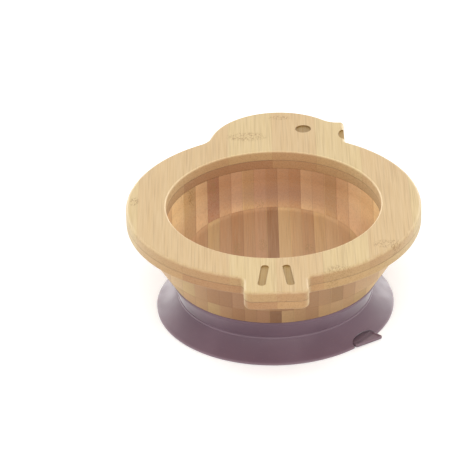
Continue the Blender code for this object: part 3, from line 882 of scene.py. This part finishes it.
# %% Finishes of the strips
WALL_BACK = "mlmldlDmlmmdmdlmdmlmlml"
WALL_FRONT = "mlmllmddmmlmmlmmdmlmlml"
FLOOR_ORDER = "mmmmlmdmmDLlmllmmlm"
WALL_SWIRLS = [(-7, 46, 3, 4), (-32, 44, 3, 3), (-44, 34, 3, 3)]
FLOOR_SWIRLS = [(18, 2, 3, 6), (-19, 4, 3, 9), (-6, 6, 3, 8)]
STRIP_JOINT_BROWN = paint(112, 76, 50)
STRIP_SHADE = (0.25, 0.14, 0.07, 1.0)
wall_nodes = sorted(n for n in frame["nodes"] if n.startswith("wall_strip"))
right_edges = [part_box(n)[1].x for n in wall_nodes]
joints = sorted({round(x + PARTING / 2, 6) for x in right_edges if x < max(right_edges) - PARTING})
STRIP_PITCH = joints[1] - joints[0]
floor_joints = [x for x in joints if abs(x) < SHOULDER_R]


def strips_tone(order, first_x):
    """The tones of a board of strips, with a slow change of shade across each strip."""
    def tone(tree, in_mm):
        x = add(tree, "SeparateXYZ", {0: in_mm}).outputs["X"]
        pitch = STRIP_PITCH / MM
        colour = strip_tones(tree, x, order, first_x / MM, pitch)
        strips = sums(tree, "DIVIDE", sums(tree, "SUBTRACT", x, first_x / MM), pitch)
        chance = add(tree, "TexWhiteNoise", {"W": sums(tree, "FLOOR", strips)},
                     noise_dimensions="1D").outputs["Color"]
        colour = blend_colours(tree, 0.06, colour, chance, how="OVERLAY")
        across = sums(tree, "FRACT", strips)
        colour = blend_colours(tree, sums(tree, "MULTIPLY", across, 0.12), colour, STRIP_SHADE)
        to_joint = sums(tree, "ABSOLUTE", sums(tree, "SUBTRACT", across, 0.5))
        glue = sums(tree, "MULTIPLY", between(tree, to_joint, 0.47, 0.498), 0.30)
        return blend_colours(tree, glue, colour, STRIP_JOINT_BROWN)
    return tone


def wall_tone(tree, in_mm):
    """The wall's tones, which drift along the canes from its back to its front."""
    back = strips_tone(WALL_BACK, joints[0] - STRIP_PITCH)(tree, in_mm)
    front = strips_tone(WALL_FRONT, joints[0] - STRIP_PITCH)(tree, in_mm)
    y = add(tree, "SeparateXYZ", {0: in_mm}).outputs["Y"]
    return blend_colours(tree, between(tree, y, -10, 10), front, back)


def strip_bamboo(name, tone, swirl_places):
    """Bamboo strips on edge, with painted shade on faces that look up, most of all the floor, and on faces
    that look outwards, and painted light on faces that look in towards the axis.
    """
    return bamboo(name, tone, swirl_places, fibre_pitch=0.8, fibre_dark=0.13, streak_width=1.2,
                  end_tint=(0.52, 0.42, 0.42, 1.0), inner_painted_light=(1.26, 1.29, 1.28, 1.0),
                  outer_painted_shade=(0.87, 0.87, 0.80, 1.0), up_painted_shade=(0.66, 0.57, 0.56, 1.0))


floor_tone = strips_tone(FLOOR_ORDER, floor_joints[0] - STRIP_PITCH)
wall_bamboo = strip_bamboo("caramel bamboo, wall", wall_tone, WALL_SWIRLS)
floor_bamboo = strip_bamboo("caramel bamboo, floor", floor_tone, FLOOR_SWIRLS)
print(len(joints), "glue lines,", round(STRIP_PITCH / MM, 2), "mm apart,",
      len(floor_joints), "of them in the floor")

# %% Saw the wall board
wall_ring = turn_round(wall_profile, steps=TURN_STEPS, closed=True)
for node in wall_nodes:
    low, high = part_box(node)
    left = None if low.x < joints[0] else low.x - PARTING / 2
    right = None if high.x > joints[-1] else high.x + PARTING / 2
    side = 1 if node.endswith("_back") else -1 if node.endswith("_front") else 0
    wall_strip = strip(wall_ring, node.replace("wall", "bamboo"), wall_bamboo, left, right, side)
    tie(wall_strip, "bowl", "strip_bamboo", node)
wall_ring.free()

# %% Saw the floor board
floor_disc = turn_round(floor_profile, steps=TURN_STEPS)
for number, (left, right) in enumerate(zip([None] + floor_joints, floor_joints + [None]), start=1):
    floor_strip = strip(floor_disc, f"floor_strip_{number:02d}", floor_bamboo, left, right)
    tie(floor_strip, "bowl", "floor_bamboo", "floor_board")
floor_disc.free()

# %% [markdown]
# ## The silicone base
#
# The real base is one moulding. The frame splits it where it bends, but the eye would see
# the split, so it is turned here as one piece that stands for all three solids. From the
# bamboo down, its profile has a collar that tapers to a waist, a thin raised bead at the
# fold, and a skirt that flares out to a thin lip.

# %% Sizes of the silicone
SKIRT_R = radii("suction_skirt")[1]
LAND_R = radii("suction_skirt", 0.0)[0]
CHAMBER_R = radii("suction_skirt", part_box("suction_skirt")[1].z)[0]
WAIST_R = radii("suction_collar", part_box("suction_collar")[0].z)[1]
GRIP_R = radii("suction_collar")[0]
LEDGE_R = radii("foot_ledge")[0]
LEDGE_LOW, LEDGE_TOP = (corner.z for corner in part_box("foot_ledge"))
COLLAR_EDGE = 0.6 * MM
BEAD = 0.5 * MM
LIP = 1.2 * MM
GROOVE_HALF_W = 0.5 * MM
GROOVE_DEPTH = 0.3 * MM
print("skirt, land, chamber, waist, grip, ledge:",
      [round(r / MM, 2) for r in (SKIRT_R, LAND_R, CHAMBER_R, WAIST_R, GRIP_R, LEDGE_R)])


# %% Silicone finish
LIP_HIGHLIGHT_BAND = (1.0, 0.1)        # the band of painted highlight along the lip, inside the skirt's edge, in mm
LIP_HIGHLIGHT_GREY = paint(150, 128, 136)
RIDGE_HIGHLIGHT_GREY = paint(160, 140, 150)
DUST_GREY = paint(165, 150, 155)


def silicone(name, low, high):
    """Matt silicone, mottled between two colours, with a soft bloom, a painted highlight on the lip and on
    the bead at the fold, and pale dust specks.
    """
    material, tree, shader, in_mm = start_finish(name, 0.42, specular=0.5)
    shader.inputs["IOR"].default_value = 1.41
    shader.inputs["Sheen Weight"].default_value = 0.65
    shader.inputs["Sheen Roughness"].default_value = 0.35
    cloud = add(tree, "TexNoise", {"Vector": in_mm, "Scale": 0.035, "Detail": 3.0}).outputs["Fac"]
    colour = blend_colours(tree, between(tree, cloud, 0.35, 0.65), low, high)
    parts = add(tree, "SeparateXYZ", {0: in_mm})
    flat = add(tree, "CombineXYZ", {"X": parts.outputs["X"], "Y": parts.outputs["Y"]}).outputs[0]
    away = add(tree, "VectorMath", {0: flat}, operation="LENGTH").outputs["Value"]
    # Painted highlight: a paler band along the lip.
    lip_from, lip_to = (SKIRT_R / MM - inset for inset in LIP_HIGHLIGHT_BAND)
    lip = sums(tree, "MULTIPLY", between(tree, away, lip_from, lip_to), 0.35)
    colour = blend_colours(tree, lip, colour, LIP_HIGHLIGHT_GREY)
    # Painted highlight: a paler line on the bead at the fold.
    ridge_highlight = sums(tree, "ABSOLUTE", sums(tree, "SUBTRACT", parts.outputs["Z"], FOLD_Z / MM + 0.6))
    colour = blend_colours(tree, between(tree, ridge_highlight, 0.7, 0.2, 0.0, 0.22), colour, RIDGE_HIGHLIGHT_GREY)
    dust = add(tree, "TexVoronoi", {"Vector": in_mm, "Scale": 0.45}, feature="F1").outputs["Distance"]
    speck = between(tree, dust, 0.10, 0.04)
    colour = blend_colours(tree, sums(tree, "MULTIPLY", speck, 0.25), colour, DUST_GREY)
    tree.links.new(colour, shader.inputs["Base Color"])
    smudge = add(tree, "TexNoise", {"Vector": in_mm, "Scale": 0.12, "Detail": 2.0}).outputs["Fac"]
    tree.links.new(between(tree, smudge, 0.3, 0.7, 0.38, 0.50), shader.inputs["Roughness"])
    skin = add(tree, "TexNoise", {"Vector": in_mm, "Scale": 3.5, "Detail": 2.0}).outputs["Fac"]
    bump = add(tree, "Bump", {"Height": skin, "Strength": 0.25, "Distance": 0.03 * MM})
    tree.links.new(bump.outputs["Normal"], shader.inputs["Normal"])
    return material


mauve = silicone("mauve silicone", paint(101, 78, 89), paint(109, 86, 97))
# Painted shade: a darker copy of the mauve for the release tab, which lies in the shade of its scoop.
shaded_mauve = silicone("handled silicone", paint(84, 62, 71), paint(96, 73, 82))


# %% Its profile
def sweep(start, bend, end, steps):
    """A quadratic Bezier curve through a profile, for a surface that sags between two points."""
    points = []
    for i in range(steps + 1):
        t = i / steps
        points.append(tuple(s * (1 - t) ** 2 + b * 2 * t * (1 - t) + e * t ** 2
                            for s, b, e in zip(start, bend, end)))
    return points


collar_top = SHOULDER_Z - HAIR
bead_r = WAIST_R + 0.3 * MM
bead_z = FOLD_Z + 0.5 * MM
collar = quarter(SHOULDER_R - COLLAR_EDGE, collar_top - COLLAR_EDGE, COLLAR_EDGE, 90, 0, 4)
waist = sweep((SHOULDER_R, collar_top - 1.2 * MM), (WAIST_R + 1.2 * MM, FOLD_Z + 5 * MM),
              (bead_r, bead_z + BEAD), 8)
bead = quarter(bead_r, bead_z, BEAD, 70, -40, 5)
flare = sweep((WAIST_R + 0.75 * MM, FOLD_Z - 0.3 * MM),
              (WAIST_R + 0.38 * (SKIRT_R - WAIST_R), FOLD_Z / 2),
              (SKIRT_R - 0.4 * LIP, LIP), 14)
edge = [(SKIRT_R, 0.7 * LIP), (SKIRT_R, 0.3 * LIP), (SKIRT_R - 0.3 * LIP, 0)]
groove_r = (SKIRT_R + LAND_R) / 2
groove = [(groove_r + GROOVE_HALF_W, 0), (groove_r, GROOVE_DEPTH), (groove_r - GROOVE_HALF_W, 0)]
inside = [(LAND_R, 0), (CHAMBER_R + 0.3 * (LAND_R - CHAMBER_R), 0.6 * FOLD_Z),
          (CHAMBER_R, LEDGE_LOW), (LEDGE_R, LEDGE_LOW), (LEDGE_R, LEDGE_TOP),
          (GRIP_R, LEDGE_TOP), (GRIP_R, collar_top)]
base_profile = collar + waist + bead + flare + edge + groove + inside
print(len(base_profile), "points in the silicone's profile")

# %% [markdown]
# The scoop over the release tab is a fingertip's hollow. Its cutter is a sphere squeezed
# to an oval, with its outer half slid away from the bowl, so that it is a domed tunnel
# that runs out through the lip.

# %% Turn the base and scoop it out
hinge = Vector(next(j for j in frame["joints"] if j["name"] == "tab_lift")["pos_m"])
tab_turn = math.atan2(hinge.y, hinge.x)
SCOOP = (3.5 * MM, 8.8 * MM, 4.6 * MM)
SCOOP_IN = 1.8 * MM
SCOOP_RUN = 16 * MM

base = make_piece(turn_round(base_profile, steps=TURN_STEPS, closed=True), "silicone_base", mauve)
scoop = bmesh.new()
bmesh.ops.create_uvsphere(scoop, u_segments=64, v_segments=32, radius=1.0)
bmesh.ops.scale(scoop, verts=scoop.verts, vec=SCOOP)
outer_half = [v for v in scoop.verts if v.co.x > 0.01 * MM]
bmesh.ops.translate(scoop, verts=outer_half, vec=(SCOOP_RUN, 0, 0))
scoop_at = Matrix.Rotation(tab_turn, 4, "Z") @ Matrix.Translation((hinge.xy.length + SCOOP_IN, 0, 0))
bmesh.ops.transform(scoop, verts=scoop.verts, matrix=scoop_at)
carve(base, [(scoop, mauve)])
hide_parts("suction_skirt", "suction_collar", "foot_ledge")
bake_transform(base)
print("silicone base:", len(base.data.polygons), "faces")

# %% [markdown]
# The release tab is a tongue in that scoop, with one corner drawn out to a point for a
# fingernail. Its top is dished, which leaves a fine raised rim. It bends at its root, so
# it is cut across several times there.

# %% Release tab
TAB_HALF_W = 7.6 * MM
TAB_TIP = 8.7 * MM
TAB_SHORT = 4.2 * MM
TAB_THICK = 1.8 * MM
TAB_ROOT = -2.4 * MM
SHORT_ROUND = 0.9 * MM
TIP_ROUND = 1.0 * MM
TAB_EASE = 0.45 * MM
DISH_RIM = 0.7 * MM
DISH_DEPTH = 0.6 * MM
BEND_HALF = 1.6 * MM
BEND_CUTS = 3                # to each side of the hinge

bm = bmesh.new()
corners = [(TAB_ROOT, -TAB_HALF_W), (TAB_SHORT, -TAB_HALF_W), (TAB_TIP, TAB_HALF_W), (TAB_ROOT, TAB_HALF_W)]
bm.faces.new([bm.verts.new((x, y, -TAB_THICK / 2)) for x, y in corners])
for x, radius in ((TAB_SHORT, SHORT_ROUND), (TAB_TIP, TIP_ROUND)):
    free = [v for v in bm.verts if abs(v.co.x - x) < 0.01 * MM]
    bmesh.ops.bevel(bm, geom=free, offset=radius, offset_type="OFFSET", affect="VERTICES",
                    segments=6, profile=0.5, material=-1)
for cut in range(-BEND_CUTS, BEND_CUTS + 1):
    bmesh.ops.bisect_plane(bm, geom=bm.verts[:] + bm.edges[:] + bm.faces[:], dist=0.0001 * MM,
                           plane_co=(cut * BEND_HALF / BEND_CUTS, 0, 0), plane_no=(1, 0, 0))
raised = bmesh.ops.extrude_face_region(bm, geom=bm.faces[:])["geom"]
lid = [v for v in raised if isinstance(v, bmesh.types.BMVert)]
bmesh.ops.translate(bm, verts=lid, vec=(0, 0, TAB_THICK))
bmesh.ops.recalc_face_normals(bm, faces=bm.faces)
rim_edges = [e for e in bm.edges if e.calc_face_angle(0) > math.radians(60)
             and abs(e.verts[0].co.z - e.verts[1].co.z) < 0.01 * MM]
bmesh.ops.bevel(bm, geom=rim_edges, offset=TAB_EASE, offset_type="OFFSET", affect="EDGES",
                segments=3, profile=0.5, material=-1, clamp_overlap=True)
dish = [f for f in bm.faces if f.normal.z > 0.99 and f.calc_center_median().x > BEND_HALF * 0.9]
bmesh.ops.inset_region(bm, faces=dish, thickness=DISH_RIM, depth=-DISH_DEPTH, use_even_offset=True)
tab_at = Matrix.Translation(hinge) @ Matrix.Rotation(tab_turn, 4, "Z")
bmesh.ops.transform(bm, verts=bm.verts, matrix=tab_at)
tab = make_piece(bm, "silicone_tab", shaded_mauve)
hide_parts("release_tab")
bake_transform(tab)
print("tab:", len(tab.data.polygons), "faces")
